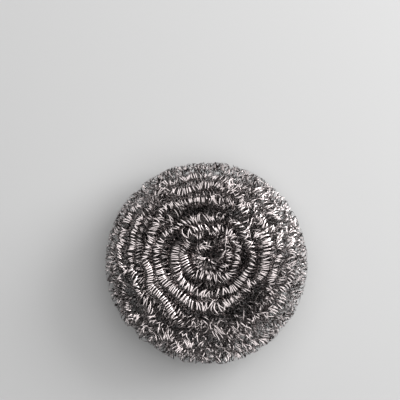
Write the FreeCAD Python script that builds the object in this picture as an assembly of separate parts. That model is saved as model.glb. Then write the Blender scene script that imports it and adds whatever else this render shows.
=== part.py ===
"""Spiral steel pot scrubber: a round springy pad wound from strands of curled stainless ribbon.

A strand is a long spring of fine flat ribbon. Each strand of the winding is modelled as the round
tube that its curls fill. The ring round the eye and the two short strand ends that stand in the eye
are the nearest to look at, and have their curls.
The strands wind round the pad's axis in nested layers: a skin, a second and a third layer, and a
heart inside them. Every layer is one spiral that runs up out of the throat, over the top, down the
rim and back along the base, and it is made of several strands laid end to end.

Frame: millimetres, +Z up, origin at the middle of the flat that the pad rests on.
"""

import FreeCAD, Part
import bisect
import math
import os

from FreeCAD import Vector

# The pad
PAD_DIAMETER = 98.0  # over the outermost strands
PAD_HEIGHT = 38.0  # from the flat it rests on to the top of the skin
PAD_FULLNESS = 2.4  # 2 is an elliptic cross-section, more is squarer
EYE_DIAMETER = 8.0  # clear way down the throat
EYE_OFFSET_X = 2.0  # from the pad's axis to the middle of the swirl
EYE_OFFSET_Y = 4.4
REST_FLAT_DEPTH = 0.5  # how far the lowest strands are pressed flat

# The strands
STRAND_DIAMETER = 4.2  # over the curls
STRAND_CLEARANCE = 1.0  # between neighbours in a layer, where the rings are concentric
LAYER_CLEARANCE = 0.85  # between one layer and the next, across the pad
TOP_LOOSENESS = 2.0  # how much further apart the rings lie in the middle of the top
BEND_LOOSENESS = 0.3  # the same for each layer further in, where the outline bends more
STRAND_END_GAP = 0.6  # along the winding, between two strands that follow each other

# How far the hand-wound rings wander from true circles
RADIAL_WANDER = 0.7  # at the rim, to either side
HEIGHT_WANDER = 1.2  # at the top, downwards

# The curls of the ring round the eye and of the strand ends in it
CURL_WIRE = 0.45  # the ribbon, taken as a round wire
CURL_CLEARANCE = 0.6  # between curls on the inside of a bend
EYE_END_INSET = 0.7  # of their bend, from the strands round the throat
EYE_END_CLEARANCE = 0.5  # between the curls and the wall of the eye that they rest on

# Counts and fixed angles
LAYER_START = math.radians(137.5)  # each layer begins this much further round
RADIAL_WAVES = 2  # per turn
HEIGHT_WAVES = 3  # per turn
BIARCS_PER_TURN = 4
OUTLINE_STEPS = 720
SEAT_STEPS_PER_TURN = 48
SEAT_HALVINGS = 16
HEART_TURNS = 0.95
TANGENT_STEP = 1e-4  # of a turn
GAP_STEPS_PER_DIAMETER = 4  # spacing of the points that gaps are measured on
GAP_REACH = 2.0  # beyond which a gap isn't measured

# The layers from the outside in, each with its strands in the order in which the spiral lays them
# and each strand's share of the layer's loops
LAYERS = (
    {
        "upper_throat_strand": 1,
        "eye_ring": 0.36,
        "top_inner_swirl": 0.64,
        "top_outer_swirl": 1,
        "upper_rim_strand": 1,
        "lower_rim_strand": 1,
        "base_outer_swirl": 1,
        "base_inner_swirl": 1,
        "lower_throat_strand": 1,
    },
    {
        "second_top_inner_strand": 1,
        "second_top_outer_strand": 1,
        "second_rim_strand": 1,
        "second_base_outer_strand": 1,
        "second_base_inner_strand": 1,
    },
    {"third_top_strand": 1, "third_rim_strand": 1, "third_base_strand": 1},
)
HEART = "heart_strand"
CURLED_RING = "eye_ring"

# The strand ends in the eye and the angles between which each one bends
EYE_ENDS = {
    "eye_left_end": (math.radians(125), math.radians(235)),
    "eye_right_end": (math.radians(-75), math.radians(55)),
}

# Sizes that follow from those above
STRAND_PITCH = STRAND_DIAMETER + STRAND_CLEARANCE
LAYER_STEP = STRAND_DIAMETER + LAYER_CLEARANCE
RIM_RADIUS = PAD_DIAMETER / 2
THROAT_RADIUS = (EYE_DIAMETER + STRAND_DIAMETER) / 2
EYE_END_RADIUS = THROAT_RADIUS - EYE_END_INSET
CURL_RADIUS = (STRAND_DIAMETER - CURL_WIRE) / 2
RING_RADIUS = (RIM_RADIUS - STRAND_DIAMETER / 2 + THROAT_RADIUS) / 2
RING_HEIGHT = (PAD_HEIGHT - REST_FLAT_DEPTH) / 2
SKIN_HALF_WIDTH = RING_RADIUS - THROAT_RADIUS
SKIN_HALF_HEIGHT = (PAD_HEIGHT + REST_FLAT_DEPTH - STRAND_DIAMETER) / 2


class Layer:
    """One closed outline in the pad's cross-section, and the spiral that is wound along it."""

    def __init__(self, index):
        self.start = index * LAYER_START
        self.pitch = STRAND_PITCH + index * BEND_LOOSENESS
        self.looseness = TOP_LOOSENESS if index == 0 else 0.0
        self.half_width = SKIN_HALF_WIDTH - index * LAYER_STEP
        self.half_height = SKIN_HALF_HEIGHT * (1 - index / len(LAYERS))
        turns = [0.0]
        for step in range(OUTLINE_STEPS):
            before, after = self.sweep_at(step), self.sweep_at(step + 1)
            pitch = self.pitch + self.looseness * max(0.0, math.sin(after)) ** 2
            length = math.dist(self.outline(before), self.outline(after))
            turns.append(turns[-1] + length / pitch)
        self.loops = math.floor(turns[-1])
        self.turns = [turn * self.loops / turns[-1] for turn in turns]

    def sweep_at(self, step):
        """The angle round the cross-section, from the throat up over the top."""
        return math.pi - math.tau * step / OUTLINE_STEPS

    def outline(self, sweep):
        """Distance from the pad's axis and height at an angle round the cross-section."""
        across = abs(math.cos(sweep) / self.half_width) ** PAD_FULLNESS
        upward = abs(math.sin(sweep) / self.half_height) ** PAD_FULLNESS
        reach = (across + upward) ** (-1 / PAD_FULLNESS)
        return RING_RADIUS + reach * math.cos(sweep), RING_HEIGHT + reach * math.sin(sweep)

    def sweep_after(self, turn):
        step = min(max(bisect.bisect_right(self.turns, turn), 1), OUTLINE_STEPS)
        low, high = self.turns[step - 1], self.turns[step]
        return self.sweep_at(step - 1 + (turn - low) / (high - low))

    def route(self, turn):
        """The point of the spiral after so many turns."""
        sweep = self.sweep_after(turn)
        radius, height = self.outline(sweep)
        return wound_point(radius, height, self.start + math.tau * turn, math.pi - sweep)


def wound_point(radius, height, angle, phase):
    """A point of a hand-wound ring: off centre towards the eye, and a little wavy."""
    share = radius / RIM_RADIUS
    wavy = radius + RADIAL_WANDER * share * math.sin(RADIAL_WAVES * angle + phase)
    sunk = HEIGHT_WANDER * (height / PAD_HEIGHT) ** 2 * (1 - math.sin(HEIGHT_WAVES * angle + phase)) / 2
    lean = 1 - share
    return Vector(
        EYE_OFFSET_X * lean + wavy * math.cos(angle),
        EYE_OFFSET_Y * lean + wavy * math.sin(angle),
        height - sunk,
    )


def tangent_at(route, turn):
    return (route(turn + TANGENT_STEP) - route(turn - TANGENT_STEP)).normalize()


def arc_from(start, tangent, end):
    """The circular arc that leaves start along tangent and passes through end."""
    half = start.distanceToPoint(end) / 2
    chord = (end - start).normalize()
    cosine = chord.dot(tangent)
    bulge = (tangent - chord * cosine).normalize()
    rise = half * math.tan(math.acos(cosine) / 2)
    return Part.Arc(start, (start + end) * 0.5 + bulge * rise, end).toShape()


def biarc(start, start_tangent, end, end_tangent):
    """Two arcs, tangent to each other and to the route at both ends."""
    chord = end - start
    reach = chord.dot(start_tangent + end_tangent)
    spread = 2 * (1 - start_tangent.dot(end_tangent))
    arm = (math.sqrt(reach**2 + spread * chord.dot(chord)) - reach) / spread
    last_corner = end - end_tangent * arm
    joint = (start + start_tangent * arm + last_corner) * 0.5
    joint_tangent = (last_corner - joint).normalize()
    return [arc_from(start, start_tangent, joint), arc_from(joint, joint_tangent, end)]


def spine_of(route, first, last):
    """The route between two turns as a wire of biarcs."""
    biarcs = math.ceil((last - first) * BIARCS_PER_TURN)
    turns = [first + (last - first) * step / biarcs for step in range(biarcs + 1)]
    places = [(route(turn), tangent_at(route, turn)) for turn in turns]
    edges = []
    for (start, start_tangent), (end, end_tangent) in zip(places, places[1:]):
        edges += biarc(start, start_tangent, end, end_tangent)
    return Part.Wire(edges)


def length_of(route, first, last):
    steps = math.ceil((last - first) * SEAT_STEPS_PER_TURN)
    places = [route(first + (last - first) * step / steps) for step in range(steps + 1)]
    return sum(here.distanceToPoint(there) for here, there in zip(places, places[1:]))


class Strand:
    """A strand that follows a route between two turns, as a tube or as one unbroken curled wire."""

    def __init__(self, name, route, first, last, bend=None):
        self.name = name
        self.length = length_of(route, first, last)
        self.diameter = CURL_WIRE if bend else STRAND_DIAMETER
        if bend:
            self.spine = curled_spine(route, first, last, self.length, bend)
        else:
            self.spine = spine_of(route, first, last)

    def solid(self):
        return tube_on(self.spine, self.diameter)


def curled_spine(route, first, last, length, bend):
    """The curls round a route whose tightest bend is given."""
    inside = length * (1 - CURL_RADIUS / bend)
    curls = math.floor(inside / (CURL_WIRE + CURL_CLEARANCE))

    def curl(turn):
        along = first + (last - first) * turn / curls
        way = tangent_at(route, along)
        outward = Vector(way.y, -way.x, 0).normalize()
        upward = outward.cross(way)
        angle = math.tau * turn
        return route(along) + (outward * math.cos(angle) + upward * math.sin(angle)) * CURL_RADIUS

    return spine_of(curl, 0, curls)


def layer_strands(layer, shares):
    """One layer's strands, which follow each other along its spiral."""
    strands = []
    whole = sum(shares.values())
    turn = 0.0
    for name, share in shares.items():
        ends = (turn, turn + layer.loops * share / whole)
        turn = ends[1]
        radii = [layer.outline(layer.sweep_after(end))[0] for end in ends]
        trims = [STRAND_END_GAP / 2 / (math.tau * radius) for radius in radii]
        bend = min(radii) if name == CURLED_RING else None
        strands.append(Strand(name, layer.route, ends[0] + trims[0], ends[1] - trims[1], bend))
    return strands


def heart_strand(innermost):
    """The flat spiral in the middle of the innermost layer, from its inner to its outer side."""
    half_width = innermost.half_width - LAYER_STEP

    def route(turn):
        share = turn / HEART_TURNS
        radius = RING_RADIUS + half_width * (2 * share - 1)
        return wound_point(radius, RING_HEIGHT, math.tau * turn, math.pi * share)

    return Strand(HEART, route, 0, HEART_TURNS)


def eye_point(angle, height):
    """A point of the circle in the eye that the strand ends bend along."""
    lean = 1 - EYE_END_RADIUS / RIM_RADIUS
    return Vector(
        EYE_OFFSET_X * lean + EYE_END_RADIUS * math.cos(angle),
        EYE_OFFSET_Y * lean + EYE_END_RADIUS * math.sin(angle),
        height,
    )


def seat_height(skin, first, last):
    """The height at which a bent strand end comes to lie on the wall of the eye."""
    reach = STRAND_DIAMETER + EYE_END_CLEARANCE
    wall_steps = round(skin.loops / 2 * SEAT_STEPS_PER_TURN)
    wall = [skin.route(step / SEAT_STEPS_PER_TURN) for step in range(wall_steps)]
    bend_steps = math.ceil((last - first) / math.tau * SEAT_STEPS_PER_TURN)
    angles = [first + (last - first) * step / bend_steps for step in range(bend_steps + 1)]
    low, high = RING_HEIGHT, PAD_HEIGHT + reach
    for _ in range(SEAT_HALVINGS):
        height = (low + high) / 2
        bend = [eye_point(angle, height) for angle in angles]
        if all(here.distanceToPoint(there) > reach for here in bend for there in wall):
            high = height
        else:
            low = height
    return high


def eye_end(name, skin, first, last):
    """A strand end that stands in the mouth of the eye."""
    height = seat_height(skin, first, last)

    def route(turn):
        return eye_point(math.tau * turn, height)

    return Strand(name, route, first / math.tau, last / math.tau, EYE_END_RADIUS)


def tube_on(spine, diameter):
    """A round bar swept along a wire."""
    edge = spine.Edges[0]
    start, way = edge.valueAt(edge.FirstParameter), edge.tangentAt(edge.FirstParameter)
    profile = Part.Wire(Part.Circle(start, way, diameter / 2).toShape())
    return spine.makePipeShell([profile], True, False)


def rest_flat(solid):
    """The solid with what lies below the resting plane pressed away."""
    if solid.BoundBox.ZMin >= 0:
        return solid
    span = 2 * PAD_DIAMETER
    return solid.cut(Part.makeBox(span, span, span, Vector(-span / 2, -span / 2, -span)))


def points_on(strand, diameter):
    """Points along a strand's spine, each with its share of the way."""
    count = math.ceil(strand.spine.Length / diameter * GAP_STEPS_PER_DIAMETER)
    return [(step / count, point) for step, point in enumerate(strand.spine.discretize(count + 1))]


def close_pairs(tagged, reach):
    """The tags and the distance of every two points that may lie within reach of each other."""
    grid = {}
    for tag, point in tagged:
        grid.setdefault(tuple(math.floor(c / reach) for c in point), []).append((tag, point))
    steps = [(x, y, z) for x in (-1, 0, 1) for y in (-1, 0, 1) for z in (-1, 0, 1)]
    for key, members in grid.items():
        cells = [tuple(k + s for k, s in zip(key, step)) for step in steps]
        around = [member for cell in cells for member in grid.get(cell, ())]
        for tag, point in members:
            for other_tag, other in around:
                yield tag, other_tag, point.distanceToPoint(other)


def gap_to_itself(strand):
    """The least gap between two passes of one strand."""
    reach = strand.diameter + GAP_REACH
    tagged = [(share * strand.spine.Length, p) for share, p in points_on(strand, strand.diameter)]
    pairs = close_pairs(tagged, reach)
    passes = [apart for here, there, apart in pairs if abs(here - there) > 2 * strand.diameter]
    return min(passes, default=reach) - strand.diameter


def gaps_to_others(chains):
    """The least gap from each strand to any other.

    A chain's strands follow each other and its last one ends where its first one began, so points
    that lie near each other along the chain are neighbours, not a gap.
    """
    reach = STRAND_DIAMETER + GAP_REACH
    tagged = []
    for chain in chains:
        travelled = 0.0
        around = sum(strand.length + STRAND_END_GAP for strand in chain)
        for strand in chain:
            for share, point in points_on(strand, STRAND_DIAMETER):
                tagged.append(((strand, around, travelled + share * strand.length), point))
            travelled += strand.length + STRAND_END_GAP
    gaps = {strand.name: GAP_REACH for chain in chains for strand in chain}
    for (strand, around, at), (other, other_around, other_at), apart in close_pairs(tagged, reach):
        along = abs(at - other_at)
        neighbours = around == other_around and min(along, around - along) < 2 * STRAND_DIAMETER
        if strand is not other and not neighbours:
            gap = apart - (strand.diameter + other.diameter) / 2
            gaps[strand.name] = min(gaps[strand.name], gap)
    return gaps


def main():
    os.makedirs("parts", exist_ok=True)
    layers = [Layer(index) for index in range(len(LAYERS))]
    chains = [layer_strands(layer, shares) for layer, shares in zip(layers, LAYERS)]
    chains.append([heart_strand(layers[-1])])
    for name, (first, last) in EYE_ENDS.items():
        chains.append([eye_end(name, layers[0], first, last)])
    gaps = gaps_to_others(chains)
    for chain in chains:
        for strand in chain:
            solid = strand.solid()
            swept = math.pi * strand.diameter**2 / 4 * strand.spine.Length
            print(
                f"{strand.name}: length {strand.length:.0f} mm, wire {strand.spine.Length:.0f} mm,"
                f" volume {solid.Volume / swept:.4f} of the swept one,"
                f" least gap {gap_to_itself(strand):.2f} mm to itself"
                f" and {gaps[strand.name]:.2f} mm to others"
            )
            rest_flat(solid).exportStep(f"parts/{strand.name}.step")


main()
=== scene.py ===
"""The look of a spiral steel pot scrubber, wound from strands of curled ribbon.

The file is laid out as an add-on and is run as a script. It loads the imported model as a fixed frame,
makes each strand as the long spring of flat ribbon that it is, in the place of that strand's solid,
and sets a plain stage round the pad. All lengths are in metres, but for the camera's sensor and lens.
"""

import bisect
import math

import bmesh
import bpy
from bpy.props import FloatProperty, FloatVectorProperty, IntProperty, PointerProperty
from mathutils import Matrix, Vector, noise


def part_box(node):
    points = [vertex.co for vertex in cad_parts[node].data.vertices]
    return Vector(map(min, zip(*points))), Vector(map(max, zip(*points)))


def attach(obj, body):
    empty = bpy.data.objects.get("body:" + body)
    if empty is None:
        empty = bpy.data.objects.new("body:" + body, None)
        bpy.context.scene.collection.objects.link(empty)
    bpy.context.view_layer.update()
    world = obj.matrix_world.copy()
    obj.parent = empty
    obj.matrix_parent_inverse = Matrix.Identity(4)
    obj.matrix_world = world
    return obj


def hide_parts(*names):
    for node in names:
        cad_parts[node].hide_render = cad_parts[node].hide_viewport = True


bl_info = {
    "name": "Spiral pot scrubber",
    "version": (1, 0, 0),
    "blender": (4, 5, 0),
    "location": "View3D > Sidebar > Scrubber",
    "description": "Winds a pot scrubber's strands from curled steel ribbon",
    "category": "Add Mesh",
}

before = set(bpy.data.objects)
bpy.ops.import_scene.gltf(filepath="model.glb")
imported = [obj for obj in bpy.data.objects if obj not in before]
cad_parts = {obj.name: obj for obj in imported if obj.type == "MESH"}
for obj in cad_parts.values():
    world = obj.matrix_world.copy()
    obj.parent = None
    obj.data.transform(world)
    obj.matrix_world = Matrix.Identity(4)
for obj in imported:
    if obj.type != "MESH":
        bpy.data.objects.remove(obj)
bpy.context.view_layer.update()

# The pad and its winding, as the solids have them
PAD_DIAMETER = 0.098
PAD_HEIGHT = 0.038
PAD_FULLNESS = 2.4
EYE_DIAMETER = 0.008
EYE_OFFSET_X = 0.002
EYE_OFFSET_Y = 0.0044
REST_FLAT_DEPTH = 0.0005
STRAND_DIAMETER = 0.0042
STRAND_CLEARANCE = 0.001
LAYER_CLEARANCE = 0.00085
TOP_LOOSENESS = 0.002
BEND_LOOSENESS = 0.0003
STRAND_END_GAP = 0.0006
RADIAL_WANDER = 0.0007
HEIGHT_WANDER = 0.0012
EYE_END_INSET = 0.0007
LAYER_START = math.radians(137.5)
RADIAL_WAVES = 2
HEIGHT_WAVES = 3
HEART_TURNS = 0.95
OUTLINE_STEPS = 720
STRAND_PITCH = STRAND_DIAMETER + STRAND_CLEARANCE
LAYER_STEP = STRAND_DIAMETER + LAYER_CLEARANCE
RIM_RADIUS = PAD_DIAMETER / 2
THROAT_RADIUS = (EYE_DIAMETER + STRAND_DIAMETER) / 2
EYE_END_RADIUS = THROAT_RADIUS - EYE_END_INSET
RING_RADIUS = (RIM_RADIUS - STRAND_DIAMETER / 2 + THROAT_RADIUS) / 2
RING_HEIGHT = (PAD_HEIGHT - REST_FLAT_DEPTH) / 2
SKIN_HALF_WIDTH = RING_RADIUS - THROAT_RADIUS
SKIN_HALF_HEIGHT = (PAD_HEIGHT + REST_FLAT_DEPTH - STRAND_DIAMETER) / 2

# The layers from the outside in, each with its strands in winding order and their shares of its loops
SKIN = {
    "upper_throat_strand": 1,
    "eye_ring": 0.36,
    "top_inner_swirl": 0.64,
    "top_outer_swirl": 1,
    "upper_rim_strand": 1,
    "lower_rim_strand": 1,
    "base_outer_swirl": 1,
    "base_inner_swirl": 1,
    "lower_throat_strand": 1,
}
SECOND_LAYER = {
    "second_top_inner_strand": 1,
    "second_top_outer_strand": 1,
    "second_rim_strand": 1,
    "second_base_outer_strand": 1,
    "second_base_inner_strand": 1,
}
THIRD_LAYER = {"third_top_strand": 1, "third_rim_strand": 1, "third_base_strand": 1}
LAYERS = (SKIN, SECOND_LAYER, THIRD_LAYER)

# The strand ends in the eye and the angles between which each one bends
EYE_ENDS = {
    "eye_left_end": (math.radians(125), math.radians(235)),
    "eye_right_end": (math.radians(-75), math.radians(55)),
}
EYE_END_TUCK = 0.002  # how far they sag towards the middle of the eye

# How a strand strays from its ring
ROUTE_POINTS_PER_TURN = 48
ROUTE_ORDER = 4  # how smooth its curve is
DRIFT = 1.6  # how much more it strays over a longer span, on the top
SIDEWAYS = 0.5  # how much of that is across the rings
SIDE_LIFT = 0.1  # how much of its wander goes out of the skin or into it, on the sides
TOP_LIFT = 0.6  # how much more does on the top
SAG = 0.2  # how much of that lift it loses on the top and on the base
MOST_SUNK = 0.2  # how much of it may go into the skin, where the layer below stops it
RIM_HOLD = 0.6  # how much less it strays along the skin at the rim
RIM_PUFF = 0.0009  # how far it swells out at the rim
RIM_POWER = 4  # how narrow a band counts as the rim

# Noise along a strand: the length over which each kind changes, and a channel of its own. Channels
# and seeds lie between whole numbers, because the noise is nil where all that goes into it is whole.
STRAY_ALONG = (0.014, 11.5)
STRAY_LIFT = (0.014, 12.5)
DRIFT_ALONG = (0.04, 13.5)
DRIFT_LIFT = (0.04, 14.5)
CURL_NOISE = {
    "slow_swell": (0.005, 0.5),
    "quick_swell": (0.0013, 1.5),
    "oval": (0.006, 2.5),
    "slow_lean_y": (0.006, 3.5),
    "slow_lean_z": (0.006, 4.5),
    "crowding": (0.008, 5.5),
    "jostle_y": (0.0022, 6.5),
    "jostle_z": (0.0025, 7.5),
    "quick_lean_y": (0.0014, 8.5),
    "quick_lean_z": (0.0014, 9.5),
}
SEED_SHIFT = 0.37
SEEDS_PER_LAYER = 10
HEART_SEED = 30
EYE_END_SEED = 40

# How restless the curls are in the middle and at the rim
CALM = 1.0
WILD = 1.7

# Spots where they lie neater or wilder: the place seen from above, its reach, and how much of the
# unrest is gone there, or added where that is negative
SPOTS = (
    ((0.002, 0.004), 0.007, -0.6),
    ((0.004, -0.029), 0.015, -0.4),
    ((0.020, 0.022), 0.012, -0.3),
    ((0.023, -0.017), 0.008, -0.5),
    ((-0.021, 0.031), 0.007, -0.4),
    ((-0.018, -0.013), 0.012, 0.2),
    ((-0.012, 0.003), 0.008, 0.6),
    ((0.030, -0.002), 0.014, 0.3),
    ((-0.001, 0.031), 0.014, 0.35),
    ((0.004, -0.010), 0.007, 0.35),
    ((-0.028, 0.009), 0.014, 0.4),
    ((-0.038, 0.009), 0.010, 0.45),
    ((-0.029, 0.026), 0.009, 0.3),
    ((-0.007, 0.038), 0.011, 0.45),
)

# Stretches of the skin that lie straight: the turns wound before each, and its two ends from above
STRAIGHTS = (
    (4, (-0.0228, -0.0073), (-0.0071, -0.0209)),
    (5, (-0.0272, -0.0030), (-0.0272, -0.0110)),
    (5, (-0.0268, -0.0120), (-0.0163, -0.0238)),
    (2, (-0.0145, 0.0090), (-0.0086, -0.0050)),
    (3, (0.0179, -0.0048), (0.0123, -0.0150)),
    (5, (0.0290, 0.0125), (0.0277, -0.0036)),
)
STRAIGHT_NEATNESS = 0.65  # how much of the unrest is gone on them
STRAIGHT_REACH = 0.005  # how far to their sides that goes
STRAIGHT_POWER = 4  # how sharply they begin and end

# How large, how far apart and how flat a strand's curls are, against the average ones
CURL_LOOKS = {
    "upper_throat_strand": (1.1, 0.9, 1.05),
    "eye_ring": (0.95, 0.88, 1.2),
    "top_inner_swirl": (0.95, 0.88, 1.2),
    "top_outer_swirl": (0.83, 0.74, 1.15),
    "upper_rim_strand": (0.82, 1.2, 1.1),
    "lower_rim_strand": (0.85, 1.2, 1.1),
    "second_top_inner_strand": (1.0, 1.3, 1.1),
    "second_top_outer_strand": (1.1, 1.1, 1.1),
    "second_rim_strand": (1.0, 2.2, 1.0),
    "base_outer_swirl": (1.12, 1.1, 1.2),
    "base_inner_swirl": (1.15, 1.0, 1.2),
    "lower_throat_strand": (2.5, 1.2, 1.0),
    "eye_left_end": (1.2, 0.8, 1.2),
    "eye_right_end": (1.2, 0.8, 1.2),
}
INSIDE_LOOK = (1.0, 1.5, 1.0)  # of the strands that hardly show

# How unrest tells on the curls
STILL_SPACING = 1.0  # how far apart they would lie with no unrest
UNREST_CROWDING = 0.22  # how much of that an unrest of 1 takes away
NEAT_GAIN = 1.8  # how many times the swell larger they would be with no unrest
WILD_LOSS = 0.5  # how many times the swell smaller they are at an unrest of 2
OVALNESS = 0.3  # how far an unrest of 1 squashes them
FUZZ = 0.0012  # how far they may stand out of the pad

# The ribbon's section has its corners in this order: near edge inside and outside, far edge outside
# and inside
FIRST_CORNER = 0
LAST_CORNER = 3
FAR_CORNERS = (2, 3)
RIBBON_SIDES = 4
SHARP_ANGLE = math.radians(60)  # an edge that turns more than this isn't shaded smooth
MERGE_SHARE = 0.125  # of the ribbon's thickness, within which two curls are joined
BAKE_ROWS_PER_COLUMN = 8  # on the sheet of the map for a bake

# The finish of the steel: the noise of its drawing lines and of its film
LINES_ALONG = 90  # to a metre along the ribbon
LINES_ACROSS = 9000  # to a metre across it
LINES_DETAIL = 2.0
LINES_LEVELS = (0.3, 0.7)  # of the noise, where the ribbon is smoothest and where roughest
LINES_RELIEF = 0.3  # how strongly they show in the shading
LINES_DEPTH = 0.00002
FILM_SCALE = 260.0  # to a metre
FILM_DETAIL = 3.0
FILM_LEVELS = (0.35, 0.6)  # of the noise, where the patch colour covers the ribbon and where the main colour shows; the patches are film on the bright steel and painted shade on the darker ones

# The floor, the lamps and the camera
FLOOR_REACH = 3.0  # from its middle to its sides
FLOOR_ROUGHNESS = 0.7
OVERHEAD_SIZE = 2.3
OVERHEAD_PLACE = (0.36, 0.34, 1.2)
KEY_SIZE = 0.6
KEY_PLACE = (0.75, 0.45, 0.45)
CAMERA_HEIGHT = 1.0  # over the middle of the pad
SENSOR_WIDTH = 36.0
PICTURE_WIDTH_PIXELS = 400
METRES_PER_PIXEL = 0.0004946  # at the height of the pad's middle
PAD_RIGHT_PIXELS = 6.4  # from the middle of the picture to the pad's axis
PAD_DOWN_PIXELS = 62.7

# Names of what a piece carries
BAKE_MAP = "OFBake"
RIBBON_MAP = "ribbon_run"
CORNER_LAYER = "ribbon_corner"


class RibbonSettings(bpy.types.PropertyGroup):
    """The ribbon, and how regular its curls are."""

    curl_diameter: FloatProperty(
        name="Curl diameter",
        description="Over the outside of an average curl",
        default=0.0047,
        unit="LENGTH",
        subtype="DISTANCE",
    )
    curl_pitch: FloatProperty(
        name="Curl pitch",
        description="Along a strand, from one curl to the next",
        default=0.00122,
        unit="LENGTH",
        subtype="DISTANCE",
    )
    width: FloatProperty(
        name="Ribbon width",
        description="Across the flat of the ribbon",
        default=0.00036,
        unit="LENGTH",
        subtype="DISTANCE",
    )
    thickness: FloatProperty(
        name="Ribbon thickness",
        description="Through the ribbon",
        default=0.00008,
        unit="LENGTH",
        subtype="DISTANCE",
    )
    facets: IntProperty(
        name="Facets",
        description="Flat faces round one curl",
        default=12,
        min=6,
        max=24,
    )
    swell: FloatProperty(
        name="Swell",
        description="How much curls differ in size",
        default=0.3,
        subtype="FACTOR",
    )
    lean: FloatProperty(
        name="Lean",
        description="How far curls tilt over, as a slope",
        default=1.5,
        subtype="FACTOR",
    )
    crowding: FloatProperty(
        name="Crowding",
        description="How far curls slide together and apart along a strand",
        default=0.001,
        unit="LENGTH",
        subtype="DISTANCE",
    )
    jostle: FloatProperty(
        name="Jostle",
        description="How far single curls are pushed aside",
        default=0.0016,
        unit="LENGTH",
        subtype="DISTANCE",
    )
    wander: FloatProperty(
        name="Wander",
        description="How far a strand strays from its ring",
        default=0.004,
        unit="LENGTH",
        subtype="DISTANCE",
    )


class SteelSettings(bpy.types.PropertyGroup):
    """The finish of the ribbon, and the painted shade of its darker copies."""

    bright: FloatVectorProperty(
        name="Bright steel",
        description="Clean ribbon on the top, on the base and in the eye",
        default=(0.68, 0.61, 0.605),
        min=0,
        max=1,
        subtype="COLOR",
    )
    # Painted shade: the rim strands get this darker colour for the shade the rim lies in; their patches
    # take the inner shade colour
    rim_shade: FloatVectorProperty(
        name="Rubbed steel",
        description="Clean ribbon at the rim, where it is a little darker",
        default=(0.56, 0.502, 0.497),
        min=0,
        max=1,
        subtype="COLOR",
    )
    # Partly real, partly painted shade: as the patch colour of the bright steel it is film; as the colour
    # of the second layer's outer top strand it is painted shade, where that ribbon shows deep between the
    # rings of the top
    film_and_gap_shade: FloatVectorProperty(
        name="Dull steel",
        description="Film on bright ribbon, and clean ribbon that shows between the rings of the top",
        default=(0.47, 0.42, 0.415),
        min=0,
        max=1,
        subtype="COLOR",
    )
    # Painted shade: the colour of the ribbon inside the pad, of the heart and of the lower throat, made
    # dark for the shade in there; also the dark patch colour of the rim's and the gaps' painted-shade
    # steels
    inner_shade: FloatVectorProperty(
        name="Oily steel",
        description="Film on rubbed and on dull ribbon, and clean ribbon inside the pad",
        default=(0.26, 0.232, 0.229),
        min=0,
        max=1,
        subtype="COLOR",
    )
    # Painted shade: near black on the inner face of every curl, which is the same steel as the outer face,
    # for the shade inside the curl; also the dark patch colour of the steel inside the pad
    inside: FloatVectorProperty(
        name="Inside of the curls",
        description="The matt side of the ribbon, and film on ribbon inside the pad",
        default=(0.04, 0.036, 0.035),
        min=0,
        max=1,
        subtype="COLOR",
    )
    smooth_roughness: FloatProperty(
        name="Least roughness",
        description="Between the drawing lines",
        default=0.15,
        min=0,
        max=1,
        subtype="FACTOR",
    )
    drawn_roughness: FloatProperty(
        name="Most roughness",
        description="Along the drawing lines",
        default=0.35,
        min=0,
        max=1,
        subtype="FACTOR",
    )


class StageSettings(bpy.types.PropertyGroup):
    """The floor and the light."""

    floor: FloatVectorProperty(
        name="Floor",
        description="Colour of the floor",
        default=(0.5, 0.5, 0.5),
        min=0,
        max=1,
        subtype="COLOR",
    )
    sky: FloatProperty(
        name="Sky",
        description="Strength of the even light from all round",
        default=0.03,
        min=0,
    )
    overhead: FloatProperty(
        name="Overhead lamp",
        description="Strength of the wide soft lamp above the pad",
        default=31.0,
        min=0,
        unit="POWER",
    )
    key: FloatProperty(
        name="Key lamp",
        description="Strength of the soft lamp on the right",
        default=9.5,
        min=0,
        unit="POWER",
    )


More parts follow.
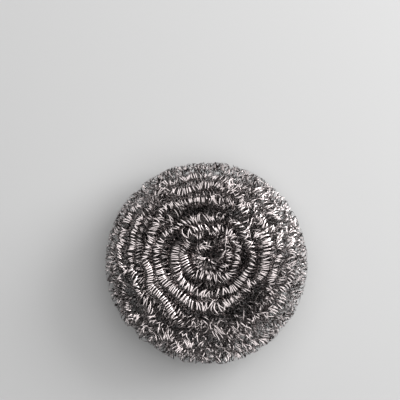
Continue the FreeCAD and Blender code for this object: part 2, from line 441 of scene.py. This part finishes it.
class Layer:
    """One closed outline in the pad's cross-section, and the spiral that is wound along it."""

    def __init__(self, index):
        self.start = index * LAYER_START
        self.pitch = STRAND_PITCH + index * BEND_LOOSENESS
        self.looseness = TOP_LOOSENESS if index == 0 else 0.0
        self.straights = STRAIGHTS if index == 0 else ()
        self.half_width = SKIN_HALF_WIDTH - index * LAYER_STEP
        self.half_height = SKIN_HALF_HEIGHT * (1 - index / len(LAYERS))
        turns = [0.0]
        for step in range(OUTLINE_STEPS):
            before, after = self.sweep_at(step), self.sweep_at(step + 1)
            pitch = self.pitch + self.looseness * max(0.0, math.sin(after)) ** 2
            length = math.dist(self.outline(before), self.outline(after))
            turns.append(turns[-1] + length / pitch)
        self.loops = math.floor(turns[-1])
        self.turns = [turn * self.loops / turns[-1] for turn in turns]

    def sweep_at(self, step):
        """The angle round the cross-section, from the throat up over the top."""
        return math.pi - math.tau * step / OUTLINE_STEPS

    def outline(self, sweep):
        """Distance from the pad's axis and height at an angle round the cross-section."""
        across = abs(math.cos(sweep) / self.half_width) ** PAD_FULLNESS
        upward = abs(math.sin(sweep) / self.half_height) ** PAD_FULLNESS
        reach = (across + upward) ** (-1 / PAD_FULLNESS)
        return RING_RADIUS + reach * math.cos(sweep), RING_HEIGHT + reach * math.sin(sweep)

    def sweep_after(self, turn):
        step = min(max(bisect.bisect_right(self.turns, turn), 1), OUTLINE_STEPS)
        low, high = self.turns[step - 1], self.turns[step]
        return self.sweep_at(step - 1 + (turn - low) / (high - low))

    def route(self, turn):
        """The point of the spiral after so many turns."""
        sweep = self.sweep_after(turn)
        radius, height = self.outline(sweep)
        place = wound_point(radius, height, self.start + math.tau * turn, math.pi - sweep)
        return place + straightened(place, turn, self.straights)

    def spans(self, shares):
        """Between which turns each strand of the layer runs."""
        whole = sum(shares.values())
        turn = 0.0
        spans = {}
        for name, share in shares.items():
            ends = (turn, turn + self.loops * share / whole)
            turn = ends[1]
            radii = [self.outline(self.sweep_after(end))[0] for end in ends]
            trims = [STRAND_END_GAP / 2 / (math.tau * radius) for radius in radii]
            spans[name] = (ends[0] + trims[0], ends[1] - trims[1])
        return spans


def wound_point(radius, height, angle, phase):
    """A point of a hand-wound ring: off centre towards the eye, and a little wavy."""
    share = radius / RIM_RADIUS
    wavy = radius + RADIAL_WANDER * share * math.sin(RADIAL_WAVES * angle + phase)
    dip = (1 - math.sin(HEIGHT_WAVES * angle + phase)) / 2
    sunk = HEIGHT_WANDER * (height / PAD_HEIGHT) ** 2 * dip
    lean = 1 - share
    return Vector(
        (
            EYE_OFFSET_X * lean + wavy * math.cos(angle),
            EYE_OFFSET_Y * lean + wavy * math.sin(angle),
            height - sunk,
        )
    )


def heart_route(turn):
    """The flat spiral in the middle of the pad."""
    half_width = SKIN_HALF_WIDTH - len(LAYERS) * LAYER_STEP
    share = turn / HEART_TURNS
    radius = RING_RADIUS + half_width * (2 * share - 1)
    return wound_point(radius, RING_HEIGHT, math.tau * turn, math.pi * share)


def eye_end_route(name):
    """The bend in the mouth of the eye, at the height of the solid it stands for."""
    low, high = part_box(name)
    height = (low.z + high.z) / 2
    lean = 1 - EYE_END_RADIUS / RIM_RADIUS
    radius = EYE_END_RADIUS - EYE_END_TUCK

    def route(turn):
        angle = math.tau * turn
        return Vector(
            (
                EYE_OFFSET_X * lean + radius * math.cos(angle),
                EYE_OFFSET_Y * lean + radius * math.sin(angle),
                height,
            )
        )

    return route


def straight_distance(place, start, end):
    """How far a place is from a straight stretch, seen from above."""
    line = Vector(end) - Vector(start)
    offset = place.xy - Vector(start)
    share = min(max(offset.dot(line) / line.length_squared, 0.0), 1.0)
    return (offset - line * share).length


def unrest_at(place):
    """How restless the curls are at a place: most at the rim, but for the spots and the straights."""
    share = place.xy.length / RIM_RADIUS
    unrest = CALM + (WILD - CALM) * share
    for spot, reach, neatness in SPOTS:
        distance = (place.xy - Vector(spot)).length
        unrest *= 1 - neatness * math.exp(-((distance / reach) ** 2))
    for _, start, end in STRAIGHTS:
        distance = straight_distance(place, start, end)
        unrest *= 1 - STRAIGHT_NEATNESS * math.exp(-((distance / STRAIGHT_REACH) ** 2))
    return unrest


def straightened(place, turn, straights):
    """How far a point of a route moves across to lie on a straight stretch of the same turn."""
    moved = Vector((0, 0, 0))
    for turns_before, start, end in straights:
        start, end = Vector(start), Vector(end)
        between = start.normalized() + end.normalized()
        middle = turns_before + math.atan2(between.y, between.x) / math.tau % 1
        half_angle = start.angle(end) / 2
        nearness = math.exp(-((math.tau * (turn - middle) / half_angle) ** STRAIGHT_POWER))
        line = end - start
        offset = place.xy - start
        moved += Vector((*(line * offset.dot(line) / line.length_squared - offset), 0)) * nearness
    return moved


def noise_at(travelled, seed, kind):
    """The noise of one kind after so much of a strand's length."""
    span, channel = kind
    return noise.noise((travelled / span, seed, channel))


def stray(place, travelled, seed, wander):
    """A point of a route, pulled a little along the skin, and out of it or into it."""
    outward = Vector((place.x, place.y, 0)).normalized()
    across = (place.xy.length - RING_RADIUS) / SKIN_HALF_WIDTH
    upward = (place.z - RING_HEIGHT) / SKIN_HALF_HEIGHT
    at_top = max(0.0, upward) ** 2
    at_rim = max(0.0, across) ** RIM_POWER
    drift = DRIFT * at_top
    along = noise_at(travelled, seed, STRAY_ALONG)
    along += SIDEWAYS * drift * noise_at(travelled, seed, DRIFT_ALONG)
    lifted = noise_at(travelled, seed, STRAY_LIFT) - SAG * abs(upward)
    lifted += drift * noise_at(travelled, seed, DRIFT_LIFT)
    lifted = max(lifted, -MOST_SUNK)
    facing = (outward * across + Vector((0, 0, upward))).normalized()
    level = (outward * upward - Vector((0, 0, across))).normalized()
    lift = SIDE_LIFT + TOP_LIFT * at_top
    pulled = level * along * (1 - RIM_HOLD * at_rim) + facing * lift * lifted
    return place + wander * min(unrest_at(place), WILD) * pulled + outward * RIM_PUFF * at_rim


def smooth_curve(name, places):
    """A smooth curve that is led by a row of places."""
    curve = bpy.data.curves.new(name, "CURVE")
    curve.dimensions = "3D"
    curve.twist_mode = "Z_UP"
    curve.use_deform_bounds = False
    spline = curve.splines.new("NURBS")
    spline.points.add(len(places) - 1)
    for point, place in zip(spline.points, places):
        point.co = (*place, 1)
    spline.order_u = ROUTE_ORDER
    spline.use_endpoint_u = True
    holder = bpy.data.objects.new(name, curve)
    bpy.context.collection.objects.link(holder)
    return holder


class Rail:
    """The smooth curve that a strand is bent along, and how restless its curls are on the way."""

    def __init__(self, name, route, span, seed):
        wander = bpy.context.scene.scrubber_ribbon.wander
        first, last = span
        steps = math.ceil((last - first) * ROUTE_POINTS_PER_TURN)
        ring = [route(first + (last - first) * step / steps) for step in range(steps + 1)]
        travelled = 0.0
        before = ring[0]
        places = []
        for place in ring:
            travelled += (place - before).length
            before = place
            places.append(stray(place, travelled, seed, wander))
        self.object = smooth_curve(name, places)
        self.length = self.object.data.splines[0].calc_length()
        self.unrest = [unrest_at(place) for place in places]
        marks = [0.0]
        crowded = [0.0]
        for index, place in enumerate(places[1:]):
            gone = (place - places[index]).length
            unrest = (self.unrest[index] + self.unrest[index + 1]) / 2
            marks.append(marks[-1] + gone)
            crowded.append(crowded[-1] + gone * (STILL_SPACING - UNREST_CROWDING * unrest))
        self.marks = [mark * self.length / marks[-1] for mark in marks]
        self.crowded = [mark * self.length / crowded[-1] for mark in crowded]

    def read(self, table, travelled):
        """The value of one of the tables after so much of the length."""
        index = min(max(bisect.bisect_right(self.marks, travelled), 1), len(table) - 1)
        low, high = self.marks[index - 1], self.marks[index]
        share = min(max((travelled - low) / (high - low), 0.0), 1.0)
        return table[index - 1] + share * (table[index] - table[index - 1])


def apply_modifiers(piece):
    """Puts what the piece's modifiers make into its mesh."""
    graph = bpy.context.evaluated_depsgraph_get()
    shaped = bpy.data.meshes.new_from_object(
        piece.evaluated_get(graph), preserve_all_data_layers=True, depsgraph=graph
    )
    plain = piece.data
    piece.modifiers.clear()
    piece.data = shaped
    bpy.data.meshes.remove(plain)


def one_curl(ribbon, diameter, pitch):
    """A single curl of ribbon round the X axis."""
    inner = diameter / 2 - ribbon.thickness
    outer = diameter / 2
    corners = ((0, inner), (0, outer), (ribbon.width, outer), (ribbon.width, inner))
    curl = bmesh.new()
    corner_of = curl.verts.layers.int.new(CORNER_LAYER)
    section = []
    for index, (across, radius) in enumerate(corners):
        vert = curl.verts.new((across, 0, radius))
        vert[corner_of] = index
        section.append(vert)
    sides = [curl.edges.new(pair) for pair in zip(section, section[1:] + section[:1])]
    bmesh.ops.spin(
        curl,
        geom=section + sides,
        cent=(0, 0, 0),
        axis=(1, 0, 0),
        dvec=(pitch / ribbon.facets, 0, 0),
        angle=math.tau,
        steps=ribbon.facets,
        use_merge=False,
        use_duplicate=False,
    )
    bmesh.ops.recalc_face_normals(curl, faces=curl.faces)
    for face in curl.faces:
        face.smooth = True
    for edge in curl.edges:
        if len(edge.link_faces) == 2 and edge.calc_face_angle() > SHARP_ANGLE:
            edge.smooth = False
    return curl


def straight_spring(name, ribbon, diameter, pitch, curls):
    """A piece that is a straight spring of ribbon along the X axis."""
    mesh = bpy.data.meshes.new(name)
    curl = one_curl(ribbon, diameter, pitch)
    curl.to_mesh(mesh)
    curl.free()
    piece = bpy.data.objects.new(name, mesh)
    bpy.context.collection.objects.link(piece)
    array = piece.modifiers.new("curls", "ARRAY")
    array.count = curls
    array.use_relative_offset = False
    array.use_constant_offset = True
    array.constant_offset_displace = (pitch, 0, 0)
    array.use_merge_vertices = True
    array.merge_threshold = ribbon.thickness * MERGE_SHARE
    apply_modifiers(piece)
    return piece


def near_edge(vert, corner_of, ribbon):
    """How far along a straight spring the ribbon's near edge lies beside a vertex."""
    return vert.co.x - (ribbon.width if vert[corner_of] in FAR_CORNERS else 0)


def lay_maps(spring, ribbon, pitch, curls):
    """Gives a straight spring its two maps: the ribbon's run in metres, and a sheet of rows for a bake."""
    corner_of = spring.verts.layers.int[CORNER_LAYER]
    run_map = spring.loops.layers.uv.new(RIBBON_MAP)
    bake_map = spring.loops.layers.uv.new(BAKE_MAP)
    around = (0, ribbon.thickness, ribbon.thickness + ribbon.width, 2 * ribbon.thickness + ribbon.width)
    whole = 2 * (ribbon.thickness + ribbon.width)
    curl_length = math.hypot(math.pi * ribbon.curl_diameter, pitch)
    columns = max(1, round(math.sqrt(curls / BAKE_ROWS_PER_COLUMN)))
    rows = math.ceil(curls / columns)
    for face in spring.faces:
        corners = [loop.vert[corner_of] for loop in face.loops]
        closes = FIRST_CORNER in corners and LAST_CORNER in corners
        runs = [near_edge(loop.vert, corner_of, ribbon) / pitch for loop in face.loops]
        row = math.floor(sum(runs) / len(runs)) // columns
        for loop, corner, run in zip(face.loops, corners, runs):
            place = whole if closes and corner == FIRST_CORNER else around[corner]
            loop[run_map].uv = (run * curl_length, place)
            loop[bake_map].uv = ((run - row * columns) / columns, (row + place / whole) / rows)


def loosen(spring, ribbon, rail, seed, flatness):
    """Makes the curls of a straight spring differ in size and lean, crowd and stray."""
    corner_of = spring.verts.layers.int[CORNER_LAYER]
    for vert in spring.verts:
        x, y, z = vert.co
        along = near_edge(vert, corner_of, ribbon)
        crowded = rail.read(rail.crowded, along)
        unrest = rail.read(rail.unrest, crowded)
        drift = {name: unrest * noise_at(along, seed, kind) for name, kind in CURL_NOISE.items()}
        gain = (NEAT_GAIN if unrest < 1 else WILD_LOSS) * (1 - unrest)
        swell = 1 + ribbon.swell * (drift["slow_swell"] + drift["quick_swell"] + gain)
        oval = OVALNESS * drift["oval"]
        slope_y = ribbon.lean * math.tanh(drift["slow_lean_y"] + drift["quick_lean_y"])
        slope_z = ribbon.lean * math.tanh(drift["slow_lean_z"] + drift["quick_lean_z"])
        vert.co = (
            x + crowded - along + ribbon.crowding * drift["crowding"] + slope_y * y + slope_z * z,
            y * swell * (1 + oval) * flatness + ribbon.jostle * unrest * drift["jostle_y"],
            z * swell * (1 - oval) / flatness + ribbon.jostle * drift["jostle_z"],
        )


def bend_along(piece, rail):
    """Bends a straight spring along a rail, and removes the rail."""
    bend = piece.modifiers.new("along_route", "CURVE")
    bend.object = rail.object
    bend.deform_axis = "POS_X"
    apply_modifiers(piece)
    bpy.data.objects.remove(rail.object)


def held_in(reach, limit):
    """A distance from the middle, held softly within a little more than a limit."""
    return min(reach, limit + FUZZ * (1 - math.exp(min(0.0, limit - reach) / FUZZ)))


def press_in_shape(piece):
    """Bends what would reach below the resting plane or far out of the pad back into it."""
    for vert in piece.data.vertices:
        radius = vert.co.xy.length
        vert.co.xy *= held_in(radius, RIM_RADIUS) / radius
        vert.co.z = held_in(vert.co.z, PAD_HEIGHT)
        if vert.co.z < REST_FLAT_DEPTH:
            vert.co.z = REST_FLAT_DEPTH * math.exp(vert.co.z / REST_FLAT_DEPTH - 1)


def curled_strand(name, route, span, seed, steel):
    """One strand as a spring of ribbon, laid along its route in the place of its solid."""
    ribbon = bpy.context.scene.scrubber_ribbon
    size, stretch, flatness = CURL_LOOKS.get(name, INSIDE_LOOK)
    rail = Rail(name + "_route", route, span, seed)
    curls = round(rail.length / (ribbon.curl_pitch * stretch))
    pitch = rail.length / curls
    piece = straight_spring(name + "_ribbon", ribbon, ribbon.curl_diameter * size, pitch, curls)

    spring = bmesh.new()
    spring.from_mesh(piece.data)
    lay_maps(spring, ribbon, pitch, curls)
    open_ends = [edge for edge in spring.edges if edge.is_boundary]
    bmesh.ops.holes_fill(spring, edges=open_ends, sides=RIBBON_SIDES)
    loosen(spring, ribbon, rail, seed, flatness)
    spring.to_mesh(piece.data)
    spring.free()

    bend_along(piece, rail)
    press_in_shape(piece)
    piece.data.materials.clear()
    piece.data.materials.append(steel)
    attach(piece, "root")
    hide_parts(name)


def ribbon_steel(name, clean, film):
    """Drawn stainless ribbon: lines along its run, patches of two colours, and painted shade on the inside
    of the curls.
    """
    # On the darker steels, clean and film are both painted shades
    steel = bpy.data.materials.new(name)
    steel.use_nodes = True
    tree = steel.node_tree
    shader = tree.nodes["Principled BSDF"]
    shader.inputs["Metallic"].default_value = 1.0
    run = tree.nodes.new("ShaderNodeUVMap")
    run.uv_map = RIBBON_MAP
    draw_lines(tree, run, shader)
    colour_sides(tree, run, shader, clean, film)
    return steel


def draw_lines(tree, run, shader):
    """Gives the ribbon the fine lines that drawing leaves along it."""
    finish = bpy.context.scene.scrubber_steel
    link = tree.links.new
    stretch = tree.nodes.new("ShaderNodeMapping")
    stretch.inputs["Scale"].default_value = (LINES_ALONG, LINES_ACROSS, 1)
    lines = tree.nodes.new("ShaderNodeTexNoise")
    lines.inputs["Scale"].default_value = 1.0
    lines.inputs["Detail"].default_value = LINES_DETAIL
    link(run.outputs["UV"], stretch.inputs["Vector"])
    link(stretch.outputs["Vector"], lines.inputs["Vector"])

    polish = tree.nodes.new("ShaderNodeMapRange")
    polish.inputs["From Min"].default_value, polish.inputs["From Max"].default_value = LINES_LEVELS
    polish.inputs["To Min"].default_value = finish.smooth_roughness
    polish.inputs["To Max"].default_value = finish.drawn_roughness
    link(lines.outputs["Fac"], polish.inputs["Value"])
    link(polish.outputs["Result"], shader.inputs["Roughness"])

    relief = tree.nodes.new("ShaderNodeBump")
    relief.inputs["Strength"].default_value = LINES_RELIEF
    relief.inputs["Distance"].default_value = LINES_DEPTH
    link(lines.outputs["Fac"], relief.inputs["Height"])
    link(relief.outputs["Normal"], shader.inputs["Normal"])


def colour_sides(tree, run, shader, clean, film):
    """Colours the outside of the curls, which has patches of two colours, and paints shade on their
    inside.
    """
    ribbon = bpy.context.scene.scrubber_ribbon
    finish = bpy.context.scene.scrubber_steel
    link = tree.links.new
    place = tree.nodes.new("ShaderNodeTexCoord")
    patches = tree.nodes.new("ShaderNodeTexNoise")
    patches.inputs["Scale"].default_value = FILM_SCALE
    patches.inputs["Detail"].default_value = FILM_DETAIL
    tone = tree.nodes.new("ShaderNodeValToRGB")
    for stop, level, colour in zip(tone.color_ramp.elements, FILM_LEVELS, (film, clean)):
        stop.position = level
        stop.color = (*colour, 1)
    link(place.outputs["Object"], patches.inputs["Vector"])
    link(patches.outputs["Fac"], tone.inputs["Fac"])

    # The run's second coordinate goes round the ribbon, and the inside comes last; the middle of the
    # far edge is taken for its beginning
    across = tree.nodes.new("ShaderNodeSeparateXYZ")
    is_inside = tree.nodes.new("ShaderNodeMath")
    is_inside.operation = "GREATER_THAN"
    is_inside.inputs[1].default_value = ribbon.thickness + ribbon.width + ribbon.thickness / 2
    # Painted shade: the inner face of each curl takes the near-black inside colour
    sides = tree.nodes.new("ShaderNodeMix")
    sides.data_type = "RGBA"
    sides.inputs["B"].default_value = (*finish.inside, 1)
    link(run.outputs["UV"], across.inputs["Vector"])
    link(across.outputs["Y"], is_inside.inputs[0])
    link(is_inside.outputs["Value"], sides.inputs["Factor"])
    link(tone.outputs["Color"], sides.inputs["A"])
    link(sides.outputs["Result"], shader.inputs["Base Color"])


def lay_floor(stage):
    """A wide plain floor under the pad."""
    ground = bmesh.new()
    bmesh.ops.create_grid(ground, x_segments=1, y_segments=1, size=FLOOR_REACH)
    mesh = bpy.data.meshes.new("floor")
    ground.to_mesh(mesh)
    ground.free()
    floor = bpy.data.objects.new("floor", mesh)
    bpy.context.collection.objects.link(floor)
    paint = bpy.data.materials.new("pale_floor")
    paint.use_nodes = True
    shader = paint.node_tree.nodes["Principled BSDF"]
    shader.inputs["Base Color"].default_value = (*stage.floor, 1)
    shader.inputs["Roughness"].default_value = FLOOR_ROUGHNESS
    mesh.materials.append(paint)


def light_pad(stage):
    """Even light from all round, and two soft lamps."""
    world = bpy.data.worlds.new("studio")
    world.use_nodes = True
    sky = world.node_tree.nodes["Background"]
    sky.inputs["Color"].default_value = (1, 1, 1, 1)
    sky.inputs["Strength"].default_value = stage.sky
    bpy.context.scene.world = world
    hang_lamp("overhead", stage.overhead, OVERHEAD_SIZE, OVERHEAD_PLACE)
    hang_lamp("key", stage.key, KEY_SIZE, KEY_PLACE)


def hang_lamp(name, power, size, place):
    """A square soft lamp that faces the pad."""
    lamp = bpy.data.lights.new(name, "AREA")
    lamp.energy = power
    lamp.size = size
    holder = bpy.data.objects.new(name, lamp)
    holder.location = place
    holder.rotation_euler = (-Vector(place)).to_track_quat("-Z", "Y").to_euler()
    bpy.context.collection.objects.link(holder)


def aim_camera():
    """Looks straight down, with the pad to the right of the picture's middle and below it."""
    view = bpy.data.cameras.new("camera")
    view.sensor_width = SENSOR_WIDTH
    view.lens = view.sensor_width * CAMERA_HEIGHT / (PICTURE_WIDTH_PIXELS * METRES_PER_PIXEL)
    camera = bpy.data.objects.new("camera", view)
    camera.location = (
        -PAD_RIGHT_PIXELS * METRES_PER_PIXEL,
        PAD_DOWN_PIXELS * METRES_PER_PIXEL,
        RING_HEIGHT + CAMERA_HEIGHT,
    )
    bpy.context.collection.objects.link(camera)
    bpy.context.scene.camera = camera


class SCRUBBER_OT_set_stage(bpy.types.Operator):
    """Set the floor, the light and the camera"""

    bl_idname = "scrubber.set_stage"
    bl_label = "Set the stage"

    def execute(self, context):
        stage = context.scene.scrubber_stage
        lay_floor(stage)
        light_pad(stage)
        aim_camera()
        context.scene.view_settings.view_transform = "Standard"
        return {"FINISHED"}


class SCRUBBER_OT_wind_skin(bpy.types.Operator):
    """Wind the strands of the outermost layer"""

    bl_idname = "scrubber.wind_skin"
    bl_label = "Wind the skin"

    def execute(self, context):
        finish = context.scene.scrubber_steel
        bright = ribbon_steel("bright_ribbon_steel", finish.bright, finish.film_and_gap_shade)
        # Painted shade: the lower throat strand gets the dark inner shade steel for the shade deep in the
        # eye
        shaded = ribbon_steel("throat_shade_ribbon_steel", finish.inner_shade, finish.inside)
        # Painted shade: the two rim strands get a darker copy of the steel for the shade at the rim
        rim_shade = ribbon_steel("rim_shade_ribbon_steel", finish.rim_shade, finish.inner_shade)
        steels = {"lower_throat_strand": shaded, "upper_rim_strand": rim_shade, "lower_rim_strand": rim_shade}
        layer = Layer(0)
        for seed, (name, span) in enumerate(layer.spans(SKIN).items()):
            curled_strand(name, layer.route, span, seed + SEED_SHIFT, steels.get(name, bright))
        return {"FINISHED"}


class SCRUBBER_OT_wind_inside(bpy.types.Operator):
    """Wind the layers inside the skin, and the heart"""

    bl_idname = "scrubber.wind_inside"
    bl_label = "Wind the inside"

    def execute(self, context):
        finish = context.scene.scrubber_steel
        # Painted shade: the strands inside the skin and the heart get this dark copy of the steel for the
        # shade inside the pad
        shaded = ribbon_steel("shaded_ribbon_steel", finish.inner_shade, finish.inside)
        # Painted shade: the second layer's outer top strand, which shows between the rings of the top,
        # gets a darker copy of the steel
        film_and_gap_shade = ribbon_steel("gap_shade_ribbon_steel", finish.film_and_gap_shade, finish.inner_shade)
        steels = {"second_top_outer_strand": film_and_gap_shade}
        for index, shares in enumerate(LAYERS[1:], 1):
            layer = Layer(index)
            spans = layer.spans(shares)
            for seed, (name, span) in enumerate(spans.items(), SEEDS_PER_LAYER * index):
                curled_strand(name, layer.route, span, seed + SEED_SHIFT, steels.get(name, shaded))
        curled_strand("heart_strand", heart_route, (0, HEART_TURNS), HEART_SEED + SEED_SHIFT, shaded)
        return {"FINISHED"}


class SCRUBBER_OT_tuck_eye_ends(bpy.types.Operator):
    """Set the two strand ends into the mouth of the eye"""

    bl_idname = "scrubber.tuck_eye_ends"
    bl_label = "Tuck in the eye's strand ends"

    def execute(self, context):
        finish = context.scene.scrubber_steel
        bright = ribbon_steel("eye_ribbon_steel", finish.bright, finish.film_and_gap_shade)
        for seed, (name, (first, last)) in enumerate(EYE_ENDS.items(), EYE_END_SEED):
            span = (first / math.tau, last / math.tau)
            curled_strand(name, eye_end_route(name), span, seed + SEED_SHIFT, bright)
        return {"FINISHED"}


class SCRUBBER_PT_panel(bpy.types.Panel):
    """Lists the settings and the steps"""

    bl_idname = "SCRUBBER_PT_panel"
    bl_label = "Pot scrubber"
    bl_space_type = "VIEW_3D"
    bl_region_type = "UI"
    bl_category = "Scrubber"

    def draw(self, context):
        for group in SETTINGS:
            settings = getattr(context.scene, group)
            for name in settings.bl_rna.properties.keys():
                if name not in ("rna_type", "name"):
                    self.layout.prop(settings, name)
        for step in STEPS:
            self.layout.operator(step.bl_idname)


SETTINGS = {
    "scrubber_ribbon": RibbonSettings,
    "scrubber_steel": SteelSettings,
    "scrubber_stage": StageSettings,
}
STEPS = (
    SCRUBBER_OT_set_stage,
    SCRUBBER_OT_wind_skin,
    SCRUBBER_OT_wind_inside,
    SCRUBBER_OT_tuck_eye_ends,
)
CLASSES = (*SETTINGS.values(), *STEPS, SCRUBBER_PT_panel)


def register():
    for cls in CLASSES:
        bpy.utils.register_class(cls)
    for name, group in SETTINGS.items():
        setattr(bpy.types.Scene, name, PointerProperty(type=group))


def unregister():
    for name in SETTINGS:
        delattr(bpy.types.Scene, name)
    for cls in reversed(CLASSES):
        bpy.utils.unregister_class(cls)


def main():
    register()
    bpy.ops.scrubber.set_stage()
    bpy.ops.scrubber.wind_skin()
    bpy.ops.scrubber.wind_inside()
    bpy.ops.scrubber.tuck_eye_ends()


if __name__ == "__main__":
    main()
